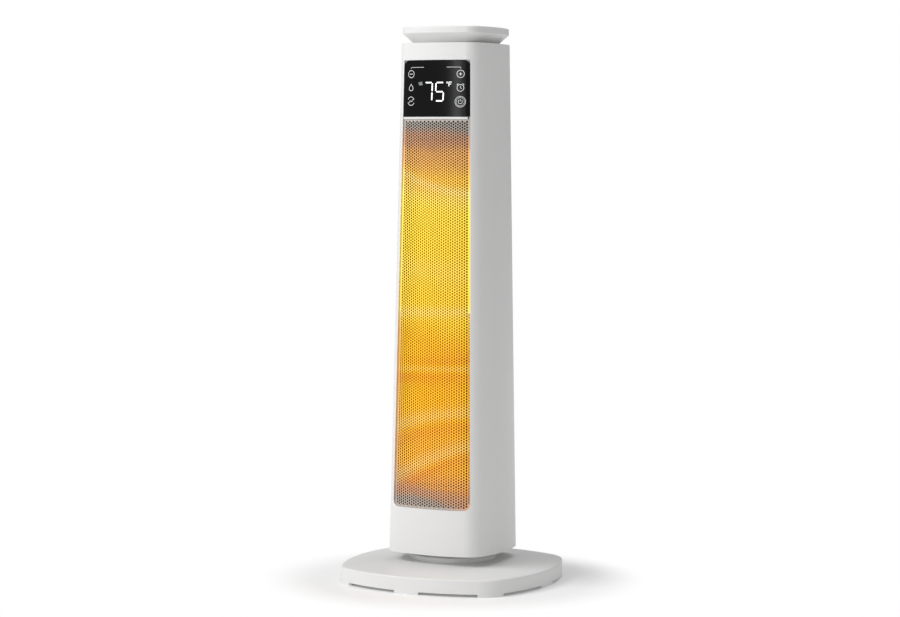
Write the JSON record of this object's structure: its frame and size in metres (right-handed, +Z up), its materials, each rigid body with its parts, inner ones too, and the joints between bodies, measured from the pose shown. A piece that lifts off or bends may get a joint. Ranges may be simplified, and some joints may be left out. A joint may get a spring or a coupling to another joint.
{
  "type": "tower fan heater",
  "caption": "Tall tapered tower fan heater on a bowed square stand, with a perforated front, a touch panel and a capped lifting groove",
  "frame": {"origin": "on the floor under the centre of the stand", "axes": "+Z up, the front faces -Y, +X to the right of one who faces its front"},
  "size_m": [0.2308, 0.2308, 0.61],
  "materials": {
    "white_shell": "fine-grained white moulded plastic",
    "inner_plastic": "plain grey moulded plastic",
    "dark_plastic": "plain black moulded plastic",
    "gloss_black": "polished black",
    "bright_trim": "bright moulded trim",
    "grille_metal": "silver-painted perforated sheet",
    "zinc_steel": "zinc plated",
    "turned_steel": "turned",
    "fin_aluminium": "rolled strip",
    "ceramic": "pressed ceramic, pale",
    "nylon": "natural nylon",
    "rubber": "moulded rubber",
    "board_green": "solder mask"
  },
  "bodies": {
    "base": {"base_cover": "white_shell", "base_bottom_plate": "white_shell", "base_weight": "zinc_steel", "rubber_feet": "rubber", "base_screws": "zinc_steel", "swivel_post": "inner_plastic", "post_screws": "zinc_steel", "thrust_washer": "nylon", "retaining_washer": "zinc_steel", "sun_gear": "nylon", "post_circlip": "zinc_steel", "tip_switch_housing": "inner_plastic", "tip_micro_switch": "dark_plastic"},
    "tower": {"tower_bottom_plate": "white_shell", "front_housing": "white_shell", "rear_cover": "white_shell", "top_deck": "white_shell", "top_cap": "white_shell", "cap_screws": "zinc_steel", "control_panel": "gloss_black", "trim_strip": "bright_trim", "sensor_window": "gloss_black", "front_grille": "grille_metal", "swivel_motor_bracket": "zinc_steel", "swivel_motor": "zinc_steel", "duct_bottom_plate": "inner_plastic", "duct_top_plate": "inner_plastic", "scroll_wall": "inner_plastic", "tongue_wall": "inner_plastic", "upper_bearing": "rubber", "fan_motor": "zinc_steel", "heater_frame": "dark_plastic", "ceramic_bars": "ceramic", "heater_fins": "fin_aluminium", "heater_terminals": "zinc_steel", "thermal_cutoff": "zinc_steel", "electronics_tray": "inner_plastic", "control_board": "board_green", "display_module": "dark_plastic", "touch_pads": "nylon", "board_standoffs": "nylon", "power_board": "board_green", "relays": "dark_plastic", "transformer": "dark_plastic", "filter_capacitors": "dark_plastic", "rocker_housing": "dark_plastic", "cord_gland": "dark_plastic", "gland_nut": "dark_plastic"},
    "pinion": {"drive_pinion": "nylon", "pinion_shaft": "turned_steel"},
    "blower": {"blower_wheel": "dark_plastic", "wheel_shaft": "turned_steel"},
    "rocker": {"mains_rocker": "dark_plastic"},
    "plunger": {"tip_plunger": "nylon"}
  },
  "joints": [
    {"name": "oscillation", "type": "hinge", "parent": "base", "child": "tower", "pos_m": [0, 0, 0.0344], "axis": [0, 0, 1], "range_deg": [-40, 40]},
    {"name": "pinion_turn", "type": "hinge", "parent": "tower", "child": "pinion", "pos_m": [-0.032, 0, 0.0452], "axis": [0, 0, 1], "range_deg": [-120, 120]},
    {"name": "blower_spin", "type": "hinge", "parent": "tower", "child": "blower", "pos_m": [0, 0.009, 0.3], "axis": [0, 0, 1], "continuous": true},
    {"name": "rocker_tilt", "type": "hinge", "parent": "tower", "child": "rocker", "pos_m": [0, 0.06295, 0.082], "axis": [1, 0, 0], "range_deg": [-20, 0]},
    {"name": "plunger_slide", "type": "slide", "parent": "base", "child": "plunger", "axis": [0, 0, -1], "range_m": [0, 0.006], "stiffness_N_per_m": 60, "springref_m": 0.012}
  ],
  "couplings": [
    {"joint": "pinion_turn", "follows": "oscillation", "ratio": 3}
  ]
}
